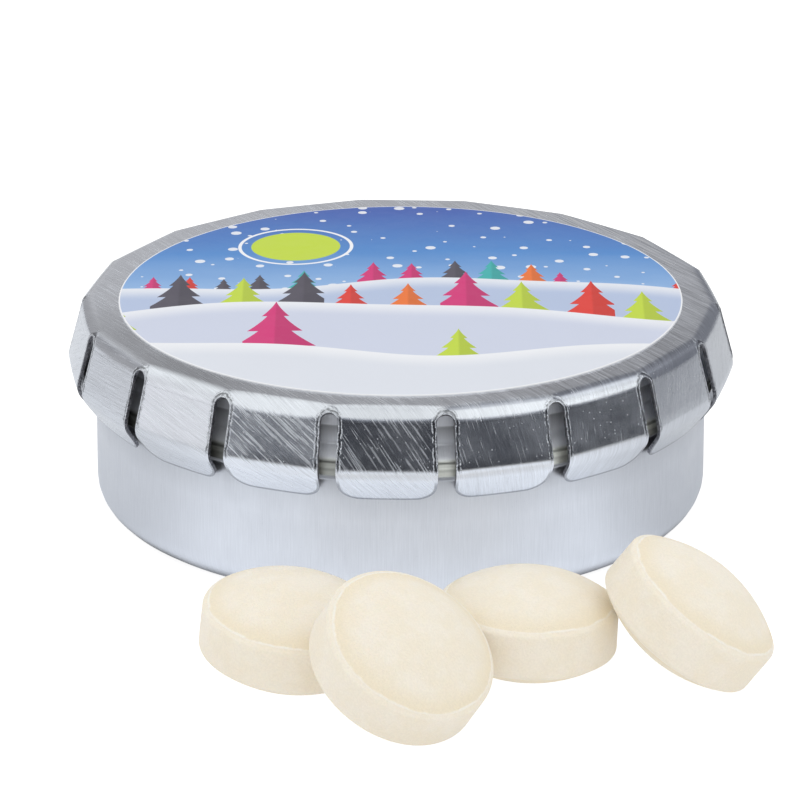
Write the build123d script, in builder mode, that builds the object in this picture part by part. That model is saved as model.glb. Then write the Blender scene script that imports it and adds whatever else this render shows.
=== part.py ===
from build123d import *

import math
import os

# Round press-to-open mint tin, closed, with four of its mints beside it.
# Millimetres, +Z up. The origin is the centre of the base's underside and -Y is the front.
# Bearings round the tin are in degrees from the front towards +X.

# Base: a drawn cup with a flat bottom, a locking bead under its neck and a rim rolled inwards
base_radius = 21.6
base_height = 14.47
base_sheet = 0.25
base_corner_radius = 2.1
neck_step = 0.1
bead_reach = 0.75
bead_drop = 3.52
bead_crest = 1.05
bead_fall = 0.6
bead_rise = 0.3
bead_inner_bend = 0.1
bead_root_bend = 0.3
rim_curl_radius = 0.65
rim_curl_angle = 270

# Lid: one pressed sheet, a round panel inside a ring of flat petals folded in over the bead
lid_sheet = 0.25
lid_rim_clearance = 0.1
top_reach = 0.73
crease_reach = 1.88
crease_drop = 4.56
tab_clearance = 0.4
petal_drop = 6.75
shoulder_bend = 0.8
crease_bend = 0.55
hinge_drop = 1.07
petal_count = 18
first_petal_bearing = -2.29
slot_width = 1.25
slot_drop = 0.36
tab_corner_radius = 1.45

# Panel: the round middle of the lid, slightly domed, that clicks down inside the base's rim
panel_rim_gap = 0.15
panel_clearance = 0.1
panel_dome = 0.3

# Label: a printed disc on the panel
label_margin = 0.05
label_thickness = 0.1

# Mints: pressed tablets with a straight band between two domed faces
mint_radius = 6.0
mint_band = 2.9
mint_dome = 2.05
mint_edge_radius = 0.3
mint_clearance = 0.06
mint_wall_gap = 0.45

# The four mints outside: the middle one is placed from the tin, the right and front ones from the
# middle one, and the left one from the front one; the right one leans on the middle one and the
# front one on the left one, each facing away from what it leans on
mint_middle_gap = 4.11
mint_middle_bearing = 14.5
mint_middle_tilt = 2.4
mint_right_bearing = 83.0
mint_right_tilt = 37.0
mint_front_gap = 0.22
mint_front_bearing = -43.7
mint_front_tilt = 36.4
mint_left_bearing = 224.6
mint_left_tilt = 8.8
mint_lean_gap = 0.15

# How far a cutting solid runs past what it cuts
overrun = 2.0


def bearing_point(bearing, distance, centre=(0, 0)):
    """Point in plan at a bearing and a distance from a centre."""
    angle = math.radians(bearing)
    return centre[0] + distance * math.sin(angle), centre[1] - distance * math.cos(angle)


def unit_vectors(points):
    """Direction of each run of an outline."""
    return [(Vector(*end) - Vector(*start)).normalized() for start, end in zip(points, points[1:])]


def inner_points(points, sheet):
    """Corners of the outline that runs a sheet's thickness to the left of another."""
    lefts = [Vector(-run.Y, run.X) for run in unit_vectors(points)]
    inner = []
    for point, before, after in zip(points, [lefts[0]] + lefts, lefts + [lefts[-1]]):
        inner.append(Vector(*point) + (before + after) * (sheet / (1 + before.dot(after))))
    return inner


def draw_sheet(points, bends, sheet):
    """Draw both sides of a bent sheet and return them: the one given, and the one to its left."""
    runs = unit_vectors(points)
    turns = [math.copysign(1, before.cross(after).Z) for before, after in zip(runs, runs[1:])]
    inner_bends = [bend - turn * sheet for bend, turn in zip(bends, turns)]
    given_side = FilletPolyline(*points, radius=bends)
    left_side = FilletPolyline(*inner_points(points, sheet), radius=inner_bends)
    return given_side, left_side


def dome_radius(width, rise):
    """Radius of the ball that rises by a given height over a disc of a given radius."""
    return (width**2 + rise**2) / (2 * rise)


def mint_place(point, bearing, tilt):
    """Place of a mint that rests on the ground with its upper face tilted towards a bearing."""
    side_x, side_y = bearing_point(bearing, math.sin(math.radians(tilt)))
    up = math.cos(math.radians(tilt))
    height = face_radius - face_centre_offset * up
    return Plane(origin=(*point, height), z_dir=(side_x, side_y, up)).location


def lean_distance(tilt, support_tilt):
    """Distance in plan from a lying mint to one that leans on the upper edge of its band."""
    sine = math.sin(math.radians(support_tilt))
    cosine = math.cos(math.radians(support_tilt))
    edge_reach = mint_radius * cosine + mint_band / 2 * sine
    edge_level = face_radius - face_centre_offset * cosine
    edge_level += mint_band / 2 * cosine - mint_radius * sine
    ball_reach = math.sqrt(face_radius**2 - (face_radius - edge_level) ** 2)
    return edge_reach + ball_reach - face_centre_offset * math.sin(math.radians(tilt)) + mint_lean_gap


def write_part(builder, name):
    """Label one finished piece and write it under its own name."""
    builder.part.label = name
    export_step(builder.part, f"parts/{name}.step")


# The base's other sizes
neck_radius = base_radius - neck_step
bead_radius = base_radius + bead_reach
rim_radius = neck_radius - rim_curl_radius
rim_level = base_height - rim_curl_radius
bead_top = base_height - bead_drop
bead_bottom = bead_top - bead_crest
bead_bend = base_sheet + bead_inner_bend

# The lid's other sizes: an apothem is the distance from the tin's axis to a petal's flat face
shoulder_level = base_height + lid_rim_clearance + lid_sheet
hinge_level = shoulder_level - hinge_drop
crease_level = shoulder_level - crease_drop
tip_level = shoulder_level - petal_drop
top_apothem = base_radius + top_reach
crease_apothem = base_radius + crease_reach
tab_apothem = base_radius + tab_clearance
panel_radius = rim_radius - rim_curl_radius - panel_rim_gap
panel_seat_radius = panel_radius + panel_clearance
label_radius = panel_radius - label_margin
petal_angle = 360 / petal_count
half_petal_angle = petal_angle / 2
blank_reach = crease_apothem + overrun
slot_radius = slot_width / 2
slot_end_level = shoulder_level - slot_drop - slot_radius
crease_radius = crease_apothem / math.cos(math.radians(half_petal_angle))

# The mints' other sizes: each face is part of a ball, whose centre lies beyond the far face
mint_height = mint_band + 2 * mint_dome
face_radius = dome_radius(mint_radius, mint_dome)
face_centre_offset = face_radius - mint_height / 2
mint_ring_radius = base_radius - base_sheet - mint_wall_gap - mint_radius
mint_ring_count = int(math.pi / math.asin((mint_radius + mint_clearance) / mint_ring_radius))

os.makedirs("parts", exist_ok=True)

# Base: the section is drawn from the axis out, up the wall and round the rim
with BuildPart() as tin_base:
    with BuildSketch(Plane.XZ):
        with BuildLine():
            outer_wall, inner_wall = draw_sheet(
                [
                    (0, 0),
                    (base_radius, 0),
                    (base_radius, bead_bottom - bead_fall),
                    (bead_radius, bead_bottom),
                    (bead_radius, bead_top),
                    (neck_radius, bead_top + bead_rise),
                    (neck_radius, rim_level),
                ],
                [base_corner_radius, bead_root_bend, bead_bend, bead_bend, bead_root_bend],
                base_sheet,
            )
            outer_rim = JernArc(outer_wall @ 1, outer_wall % 1, rim_curl_radius, rim_curl_angle)
            inner_rim = JernArc(
                inner_wall @ 1, inner_wall % 1, rim_curl_radius - base_sheet, rim_curl_angle
            )
            Line(outer_rim @ 1, inner_rim @ 1)
            Line(outer_wall @ 0, inner_wall @ 0)
        make_face()
    revolve(axis=Axis.Z)
write_part(tin_base, "tin_base")

# One facet of the lid, between two slots: the folded tab, the petal's flank and the shoulder
with BuildPart() as facet:
    with BuildSketch(Plane.XZ):
        with BuildLine():
            outer_face, inner_face = draw_sheet(
                [
                    (tab_apothem, tip_level),
                    (crease_apothem, crease_level),
                    (top_apothem, shoulder_level),
                    (panel_radius - overrun, shoulder_level),
                ],
                [crease_bend, shoulder_bend],
                lid_sheet,
            )
            Line(outer_face @ 0, inner_face @ 0)
            Line(outer_face @ 1, inner_face @ 1)
        make_face()
    extrude(amount=blank_reach, both=True)
    with BuildSketch():
        with BuildLine():
            side = blank_reach * math.tan(math.radians(half_petal_angle))
            Polyline((0, 0), (blank_reach, -side), (blank_reach, side), close=True)
        make_face()
    extrude(amount=shoulder_level + overrun, mode=Mode.INTERSECT)
    for edge_angle in (-half_petal_angle, half_petal_angle):
        with BuildSketch(Plane.YZ.rotated((0, 0, edge_angle))):
            with Locations((0, slot_end_level)):
                Circle(slot_radius)
                Rectangle(slot_width, slot_end_level, align=(Align.CENTER, Align.MAX))
        extrude(amount=blank_reach, mode=Mode.SUBTRACT)
    tip_face = facet.faces().sort_by(Axis.Z)[0]
    fillet(tip_face.edges().sort_by(SortBy.LENGTH)[:2], tab_corner_radius)

with BuildPart() as shoulder_facet:
    add(facet.part)
    split(bisect_by=Plane.XY.offset(hinge_level), keep=Keep.TOP)

with BuildPart() as petal_blank:
    add(facet.part)
    split(bisect_by=Plane.XY.offset(hinge_level), keep=Keep.BOTTOM)

# Shoulder: the ring of facets round the panel, down to the line where the petals bend
with BuildPart() as lid_shoulder:
    with PolarLocations(0, petal_count, start_angle=first_petal_bearing - 90):
        add(shoulder_facet.part)
    with BuildSketch(Plane.XY.offset(shoulder_level - lid_sheet - overrun)):
        Circle(panel_seat_radius)
    extrude(amount=lid_sheet + 2 * overrun, mode=Mode.SUBTRACT)
write_part(lid_shoulder, "lid_shoulder")

# Petals: number one is at the front, and the numbers rise towards +X
for number in range(petal_count):
    turn = first_petal_bearing - 90 + number * petal_angle
    with BuildPart() as petal:
        with PolarLocations(0, 1, start_angle=turn):
            add(petal_blank.part)
    write_part(petal, f"petal_{number + 1:02d}")

# Panel: a shallow cap of even thickness
panel_ball = dome_radius(panel_radius, panel_dome)
with BuildPart() as lid_panel:
    with BuildSketch(Plane.XZ):
        with BuildLine():
            RadiusArc((0, shoulder_level + panel_dome), (panel_radius, shoulder_level), panel_ball)
            Line((panel_radius, shoulder_level), (panel_radius, shoulder_level - lid_sheet))
            RadiusArc(
                (panel_radius, shoulder_level - lid_sheet),
                (0, shoulder_level + panel_dome - lid_sheet),
                -panel_ball,
            )
            Line(
                (0, shoulder_level + panel_dome - lid_sheet),
                (0, shoulder_level + panel_dome),
            )
        make_face()
    revolve(axis=Axis.Z)
write_part(lid_panel, "lid_panel")

# Label: it follows the panel's dome
label_edge_level = shoulder_level + panel_dome - panel_ball
label_edge_level += math.sqrt(panel_ball**2 - label_radius**2)
with BuildPart() as label:
    with BuildSketch(Plane.XZ):
        with BuildLine():
            RadiusArc((0, shoulder_level + panel_dome), (label_radius, label_edge_level), panel_ball)
            Line(
                (label_radius, label_edge_level),
                (label_radius, label_edge_level + label_thickness),
            )
            RadiusArc(
                (label_radius, label_edge_level + label_thickness),
                (0, shoulder_level + panel_dome + label_thickness),
                -panel_ball,
            )
            Line(
                (0, shoulder_level + panel_dome + label_thickness),
                (0, shoulder_level + panel_dome),
            )
        make_face()
    revolve(axis=Axis.Z)
write_part(label, "label")

# One mint, centred on the origin
with BuildPart() as mint:
    with BuildSketch(Plane.XZ):
        with BuildLine():
            RadiusArc((0, mint_height / 2), (mint_radius, mint_band / 2), face_radius)
            Line((mint_radius, mint_band / 2), (mint_radius, -mint_band / 2))
            RadiusArc((mint_radius, -mint_band / 2), (0, -mint_height / 2), face_radius)
            Line((0, -mint_height / 2), (0, mint_height / 2))
        make_face()
    revolve(axis=Axis.Z)
    fillet(mint.edges().filter_by(GeomType.CIRCLE), mint_edge_radius)

# Mints outside: the middle one lies in front of the tin, and each other one touches the last
middle = bearing_point(mint_middle_bearing, crease_radius + mint_middle_gap + mint_radius)
right = bearing_point(
    mint_right_bearing, lean_distance(mint_right_tilt, mint_middle_tilt), middle
)
front = bearing_point(mint_front_bearing, 2 * mint_radius + mint_front_gap, middle)
left = bearing_point(mint_left_bearing, lean_distance(mint_front_tilt, mint_left_tilt), front)
mint_places = {
    "mint_middle": mint_place(middle, mint_right_bearing, mint_middle_tilt),
    "mint_right": mint_place(right, mint_right_bearing, mint_right_tilt),
    "mint_front": mint_place(front, mint_left_bearing + 180, mint_front_tilt),
    "mint_left": mint_place(left, mint_left_bearing + 180, mint_left_tilt),
}
for name, place in mint_places.items():
    with BuildPart() as outside_mint:
        with Locations(place):
            add(mint.part)
    write_part(outside_mint, name)

# Mints inside: one layer, a ring round a middle one, each on the bottom
with BuildPart() as mints_inside:
    with Locations((0, 0, base_sheet + mint_clearance + mint_height / 2)):
        add(mint.part)
        with PolarLocations(mint_ring_radius, mint_ring_count):
            add(mint.part)
write_part(mints_inside, "mints_inside")
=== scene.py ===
import logging
import math
from dataclasses import dataclass, field
from enum import Enum
from typing import Callable, Iterable, Optional, Sequence, Union

import bpy
from mathutils import Matrix, Vector
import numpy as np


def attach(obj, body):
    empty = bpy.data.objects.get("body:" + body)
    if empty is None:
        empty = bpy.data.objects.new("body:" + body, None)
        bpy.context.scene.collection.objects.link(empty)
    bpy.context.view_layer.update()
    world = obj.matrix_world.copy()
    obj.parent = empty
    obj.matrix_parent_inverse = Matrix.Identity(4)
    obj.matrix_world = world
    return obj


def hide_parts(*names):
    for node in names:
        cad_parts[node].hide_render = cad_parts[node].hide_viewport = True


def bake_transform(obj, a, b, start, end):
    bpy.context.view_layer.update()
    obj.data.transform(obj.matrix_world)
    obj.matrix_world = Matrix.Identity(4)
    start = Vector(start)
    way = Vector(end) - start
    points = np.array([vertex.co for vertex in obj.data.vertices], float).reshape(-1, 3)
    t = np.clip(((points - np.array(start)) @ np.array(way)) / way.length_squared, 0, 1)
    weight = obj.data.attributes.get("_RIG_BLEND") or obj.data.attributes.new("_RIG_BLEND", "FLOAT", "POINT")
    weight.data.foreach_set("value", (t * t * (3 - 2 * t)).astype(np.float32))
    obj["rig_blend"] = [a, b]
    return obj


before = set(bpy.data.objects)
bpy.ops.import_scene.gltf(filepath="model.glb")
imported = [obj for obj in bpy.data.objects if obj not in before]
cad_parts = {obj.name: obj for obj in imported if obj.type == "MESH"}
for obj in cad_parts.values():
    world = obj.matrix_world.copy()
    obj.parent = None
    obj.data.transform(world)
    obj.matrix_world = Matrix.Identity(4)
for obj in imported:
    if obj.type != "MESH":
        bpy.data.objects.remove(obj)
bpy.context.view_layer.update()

# Looks of a round press-to-open mint tin and the four mints that lie in front of it.
# Metres, +Z up. Bearings round the tin are measured from the front (-Y) towards +X.

MM = 0.001
UNFOLDED = "unfolded"
UNFOLDED_SPAN = 50.0
BURR = "burr"
BURR_SPAN = 10.0
SENSOR_WIDTH = 36.0
WELD_GAP = 1e-7

log = logging.getLogger("mint_tin")

Socket = bpy.types.NodeSocket
Piece = bpy.types.Object
Material = bpy.types.Material
Point2 = tuple[float, float]
SheetPoint = tuple[float, float, float]
Colour = tuple[float, float, float]
Feed = Union[float, Sequence[float], Socket]


def tone(red: int, green: int, blue: int) -> Colour:
    """Scene-linear colour of a screen colour.

    Args:
        red: Screen red, 0 to 255.
        green: Screen green, 0 to 255.
        blue: Screen blue, 0 to 255.

    Returns:
        The three linear values.
    """
    shares = (red / 255, green / 255, blue / 255)
    return tuple(s / 12.92 if s <= 0.04045 else ((s + 0.055) / 1.055) ** 2.4 for s in shares)


def outward(bearing: float) -> Vector:
    """Direction in plan at a bearing from the front."""
    return Vector((math.sin(bearing), -math.cos(bearing), 0.0))


def sideways(bearing: float) -> Vector:
    """Direction in plan along a flat face that looks towards a bearing."""
    return Vector((math.cos(bearing), math.sin(bearing), 0.0))


# Outlines


def turned_corner(before: Vector, corner: Vector, after: Vector, radius: float, steps: int) -> list[Vector]:
    """Points of the arc that rounds one corner of an outline.

    Args:
        before: Point before the corner.
        corner: The corner itself.
        after: Point after the corner.
        radius: Radius of the arc.
        steps: Number of runs that the arc is drawn with.

    Returns:
        The arc's points in order.
    """
    arriving = (corner - before).normalized()
    leaving = (after - corner).normalized()
    turn = arriving.angle_signed(leaving)
    reach = radius * math.tan(abs(turn) / 2)
    start = corner - arriving * reach
    side = Vector((arriving.y, -arriving.x)) * math.copysign(1.0, turn)
    centre = start + side * radius
    spoke = start - centre
    return [centre + Matrix.Rotation(-turn * step / steps, 2) @ spoke for step in range(steps + 1)]


def rounded(corners: Sequence[Point2], radii: Sequence[float], steps: int) -> list[Vector]:
    """Outline with its inner corners rounded.

    Args:
        corners: Corners in order, as distance from the axis and level.
        radii: One radius for each corner between the ends.
        steps: Number of runs in each rounded corner.

    Returns:
        The outline's points in order.
    """
    points = [Vector(corner) for corner in corners]
    outline = [points[0]]
    for before, corner, after, radius in zip(points, points[1:], points[2:], radii):
        outline += turned_corner(before, corner, after, radius, steps)
    outline.append(points[-1])
    return outline


def beside(corners: Sequence[Point2], distance: float) -> list[Point2]:
    """Corners of the outline that runs a distance to the left of another.

    Args:
        corners: Corners in order.
        distance: Distance between the outlines.

    Returns:
        The corners of the outline beside it.
    """
    points = [Vector(corner) for corner in corners]
    runs = [(end - start).normalized() for start, end in zip(points, points[1:])]
    lefts = [Vector((-run.y, run.x)) for run in runs]
    moved = []
    for point, first, second in zip(points, [lefts[0]] + lefts, lefts + [lefts[-1]]):
        moved.append(tuple(point + (first + second) * (distance / (1 + first.dot(second)))))
    return moved


def arc(centre: Point2, radius: float, start: float, end: float, steps: int) -> list[Vector]:
    """Points of an arc.

    Args:
        centre: Centre of the arc.
        radius: Its radius.
        start: Angle of its first point, in degrees from the outward direction.
        end: Angle of its last point.
        steps: Number of runs that it is drawn with.

    Returns:
        The points in order.
    """
    angles = [math.radians(start + (end - start) * step / steps) for step in range(steps + 1)]
    return [Vector(centre) + Vector((math.cos(a), math.sin(a))) * radius for a in angles]


# Bench work on meshes


def put_down() -> None:
    """Leave edit mode and select nothing."""
    if bpy.context.object is not None and bpy.context.object.mode != "OBJECT":
        bpy.ops.object.mode_set(mode="OBJECT")
    bpy.ops.object.select_all(action="DESELECT")


def take(piece: Piece) -> None:
    """Select one piece and nothing else.

    Args:
        piece: The piece.
    """
    put_down()
    piece.select_set(True)
    bpy.context.view_layer.objects.active = piece


def settle(piece: Piece) -> None:
    """Put a piece's place into its mesh, so that its object is at the origin."""
    take(piece)
    bpy.ops.object.transform_apply(location=True, rotation=True, scale=True)


def finish_modifier(piece: Piece, kind: str, **settings: object) -> None:
    """Add one modifier and apply it.

    Args:
        piece: The piece that gets it.
        kind: Blender's name for the modifier's type.
        **settings: The modifier's settings by name.
    """
    take(piece)
    bpy.ops.object.modifier_add(type=kind)
    modifier = piece.modifiers[-1]
    for name, value in settings.items():
        setattr(modifier, name, value)
    bpy.ops.object.modifier_apply(modifier=modifier.name)


def smooth(piece: Piece, angle: float) -> None:
    """Shade a piece smooth up to an angle in degrees."""
    take(piece)
    bpy.ops.object.shade_smooth_by_angle(angle=math.radians(angle))


def copy_turned(piece: Piece, name: str, angle: float) -> Piece:
    """Copy a piece with its own mesh, turned about the tin's axis.

    Args:
        piece: The piece that is copied.
        name: Name of the copy.
        angle: Turn in radians.

    Returns:
        The copy.
    """
    take(piece)
    bpy.ops.object.duplicate()
    twin = bpy.context.object
    twin.name = name
    twin.data.name = name
    twin.matrix_world = Matrix.Rotation(angle, 4, "Z") @ twin.matrix_world
    settle(twin)
    return twin


def join_all(pieces: Sequence[Piece], name: str, gap: float) -> Piece:
    """Join pieces into one mesh and merge the points that meet.

    Args:
        pieces: The pieces, of which the first is kept.
        name: Name of the joined piece.
        gap: Distance under which points merge.

    Returns:
        The joined piece.
    """
    put_down()
    for piece in pieces:
        piece.select_set(True)
    bpy.context.view_layer.objects.active = pieces[0]
    bpy.ops.object.join()
    joined = bpy.context.object
    joined.name = name
    joined.data.name = name
    bpy.ops.object.mode_set(mode="EDIT")
    bpy.ops.mesh.select_all(action="SELECT")
    bpy.ops.mesh.remove_doubles(threshold=gap)
    bpy.ops.object.mode_set(mode="OBJECT")
    return joined


def turn_outline(
    name: str, outline: Sequence[Vector], steps: int, start: float = 0.0, sweep: float = math.tau
) -> Piece:
    """Turn a closed section about the tin's axis, as on a lathe.

    Args:
        name: Name of the piece.
        outline: Section in metres as distance from the axis and level, from the axis to the axis.
        steps: Number of steps in the turn.
        start: Angle at which the turn starts.
        sweep: Angle of the turn. Under a full circle, both ends are closed.

    Returns:
        The closed piece.
    """
    put_down()
    first = outline[0]
    bpy.ops.mesh.primitive_plane_add(size=MM, location=(first.x, 0.0, first.y))
    piece = bpy.context.object
    piece.name = name
    piece.data.name = name
    bpy.ops.object.mode_set(mode="EDIT")
    bpy.ops.mesh.select_mode(type="VERT")
    bpy.ops.mesh.select_all(action="SELECT")
    bpy.ops.mesh.merge(type="CENTER")
    for before, after in zip(outline, outline[1:]):
        run = after - before
        bpy.ops.mesh.extrude_region_move(TRANSFORM_OT_translate={"value": (run.x, 0.0, run.y)})
    bpy.ops.mesh.select_all(action="SELECT")
    whole = sweep >= math.tau
    if not whole:
        bpy.ops.mesh.edge_face_add()
    bpy.ops.mesh.spin(steps=steps, angle=-sweep, center=(0, 0, 0), axis=(0, 0, 1), use_auto_merge=False)
    bpy.ops.mesh.select_all(action="SELECT")
    bpy.ops.mesh.remove_doubles(threshold=WELD_GAP)
    bpy.ops.mesh.select_all(action="SELECT")
    bpy.ops.mesh.normals_make_consistent(inside=False)
    bpy.ops.object.mode_set(mode="OBJECT")
    settle(piece)
    piece.matrix_world = Matrix.Rotation(start, 4, "Z")
    settle(piece)
    return piece


# Nodes


@dataclass
class NodeBoard:
    """Adds and links the nodes of one material, world or node group."""

    tree: bpy.types.NodeTree
    placed: int = 0

    def add(self, kind: str, **settings: object) -> bpy.types.Node:
        """Add one node.

        Args:
            kind: Blender's name for the node's type.
            **settings: The node's settings by name.

        Returns:
            The node.
        """
        node = self.tree.nodes.new(kind)
        for name, value in settings.items():
            setattr(node, name, value)
        node.location = (220 * (self.placed // 6), -190 * (self.placed % 6))
        self.placed += 1
        return node

    def feed(self, socket: Socket, value: Feed) -> None:
        """Link a socket, or set its own value.

        Args:
            socket: The socket.
            value: Another socket, a number, or a row of numbers. A colour's alpha may be left out.
        """
        if isinstance(value, Socket):
            self.tree.links.new(value, socket)
        elif isinstance(value, (int, float)) or len(value) == len(socket.default_value):
            socket.default_value = value
        else:
            socket.default_value = (*value, 1.0)

    def maths(self, operation: str, *values: Feed, clamp: bool = False) -> Socket:
        """Result of one Math node.

        Args:
            operation: Blender's name for the operation.
            *values: Its inputs in order.
            clamp: Whether the result is held between nought and one.

        Returns:
            The result.
        """
        node = self.add("ShaderNodeMath", operation=operation, use_clamp=clamp)
        for socket, value in zip(node.inputs, values):
            self.feed(socket, value)
        return node.outputs["Value"]

    def times(self, *values: Feed) -> Socket:
        """Product of values.

        Args:
            *values: The values, multiplied from the first to the last.

        Returns:
            The product.
        """
        product = values[0]
        for value in values[1:]:
            product = self.maths("MULTIPLY", product, value)
        return product

    def plus(self, first: Feed, second: Feed) -> Socket:
        """Sum of two values."""
        return self.maths("ADD", first, second)

    def minus(self, first: Feed, second: Feed) -> Socket:
        """The first value less the second."""
        return self.maths("SUBTRACT", first, second)

    def scaled(self, value: Feed, factor: Feed, start: Feed) -> Socket:
        """A value times a factor, added to a start."""
        return self.maths("MULTIPLY_ADD", value, factor, start)

    def away(self, value: Feed, centre: Feed) -> Socket:
        """Distance of a value from another."""
        return self.maths("ABSOLUTE", self.minus(value, centre))

    def grey(self, value: Feed) -> Socket:
        """Grey of a value."""
        return self.gather(value, value, value)

    def vectors(self, operation: str, first: Feed, second: Optional[Feed] = None) -> Socket:
        """Result of one Vector Math node.

        Args:
            operation: Blender's name for the operation.
            first: The first vector.
            second: The second vector, or the factor of a scaling.

        Returns:
            The vector, or the number for a length or a dot product.
        """
        node = self.add("ShaderNodeVectorMath", operation=operation)
        self.feed(node.inputs[0], first)
        if operation == "SCALE":
            self.feed(node.inputs["Scale"], second)
        elif second is not None:
            self.feed(node.inputs[1], second)
        return node.outputs["Value"] if operation in ("LENGTH", "DOT_PRODUCT") else node.outputs["Vector"]

    def split(self, vector: Feed) -> tuple[Socket, ...]:
        """The three parts of a vector or a colour.

        Args:
            vector: The vector or colour.

        Returns:
            Its parts.
        """
        node = self.add("ShaderNodeSeparateXYZ")
        self.feed(node.inputs[0], vector)
        return tuple(node.outputs)

    def gather(self, x: Feed = 0.0, y: Feed = 0.0, z: Feed = 0.0) -> Socket:
        """A vector of three values.

        Args:
            x: The first.
            y: The second.
            z: The third.

        Returns:
            The vector.
        """
        node = self.add("ShaderNodeCombineXYZ")
        for socket, value in zip(node.inputs, (x, y, z)):
            self.feed(socket, value)
        return node.outputs[0]

    def spread(
        self, value: Feed, low: Feed, high: Feed, to_low: Feed = 0.0, to_high: Feed = 1.0, soft: bool = True
    ) -> Socket:
        """Carry a value from one range to another, held at its ends.

        Args:
            value: The value.
            low: Where the first range starts.
            high: Where it ends.
            to_low: Where the second range starts.
            to_high: Where it ends.
            soft: Whether the ends are eased.

        Returns:
            The carried value.
        """
        kind = "SMOOTHSTEP" if soft else "LINEAR"
        node = self.add("ShaderNodeMapRange", interpolation_type=kind)
        for socket, number in zip(node.inputs, (value, low, high, to_low, to_high)):
            self.feed(socket, number)
        return node.outputs["Result"]

    def noise(
        self, vector: Feed, scale: Feed, detail: float = 2.0, rough: float = 0.5
    ) -> Socket:
        """Value of a noise texture.

        Args:
            vector: Position in the texture.
            scale: Number of features per unit.
            detail: Number of finer layers.
            rough: Share of the finer layers.

        Returns:
            The texture's value.
        """
        node = self.add("ShaderNodeTexNoise")
        self.feed(node.inputs["Vector"], vector)
        self.feed(node.inputs["Scale"], scale)
        self.feed(node.inputs["Detail"], detail)
        self.feed(node.inputs["Roughness"], rough)
        return node.outputs["Fac"]

    def mix(self, share: Feed, first: Feed, second: Feed, blend: str = "MIX") -> Socket:
        """Colour between two colours.

        Args:
            share: Share of the second.
            first: The first colour.
            second: The second colour.
            blend: How the second is laid on the first.

        Returns:
            The mixed colour.
        """
        node = self.add("ShaderNodeMix", data_type="RGBA", blend_type=blend)
        self.feed(node.inputs["Factor"], share)
        self.feed(node.inputs[6], first)
        self.feed(node.inputs[7], second)
        return node.outputs[2]

    def ramp(
        self, share: Feed, stops: Sequence[tuple[float, Colour]], kind: str = "LINEAR"
    ) -> Socket:
        """Colour from a ramp.

        Args:
            share: Where on the ramp, 0 to 1.
            stops: Positions and colours.
            kind: How the ramp goes from colour to colour.

        Returns:
            The ramp's colour socket.
        """
        node = self.add("ShaderNodeValToRGB")
        node.color_ramp.interpolation = kind
        marks = node.color_ramp.elements
        while len(marks) < len(stops):
            marks.new(0.5)
        for mark, (place, colour) in zip(marks, stops):
            mark.position = place
            mark.color = (*colour, 1.0)
        self.feed(node.inputs["Fac"], share)
        return node.outputs["Color"]

    def place_group(self, group: bpy.types.NodeTree, **values: Feed) -> bpy.types.Node:
        """Place a node group and feed its inputs.

        Args:
            group: The node group.
            **values: What its inputs get, by name, with underscores for spaces.

        Returns:
            The group's node.
        """
        node = self.add("ShaderNodeGroup", node_tree=group)
        for name, value in values.items():
            self.feed(node.inputs[name.replace("_", " ")], value)
        return node


def new_group(
    name: str, inputs: dict[str, float], outputs: Sequence[str]
) -> tuple[NodeBoard, bpy.types.Node, bpy.types.Node]:
    """Start a shader node group.

    Args:
        name: Name of the group.
        inputs: Number inputs and their defaults. A Vector input comes first by itself.
        outputs: Names of the number outputs.

    Returns:
        The group's board, its input node and its output node.
    """
    tree = bpy.data.node_groups.new(name, "ShaderNodeTree")
    tree.interface.new_socket(name="Vector", in_out="INPUT", socket_type="NodeSocketVector")
    for label, default in inputs.items():
        socket = tree.interface.new_socket(name=label, in_out="INPUT", socket_type="NodeSocketFloat")
        socket.default_value = default
    for label in outputs:
        tree.interface.new_socket(name=label, in_out="OUTPUT", socket_type="NodeSocketFloat")
    board = NodeBoard(tree)
    return board, board.add("NodeGroupInput"), board.add("NodeGroupOutput")


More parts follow.
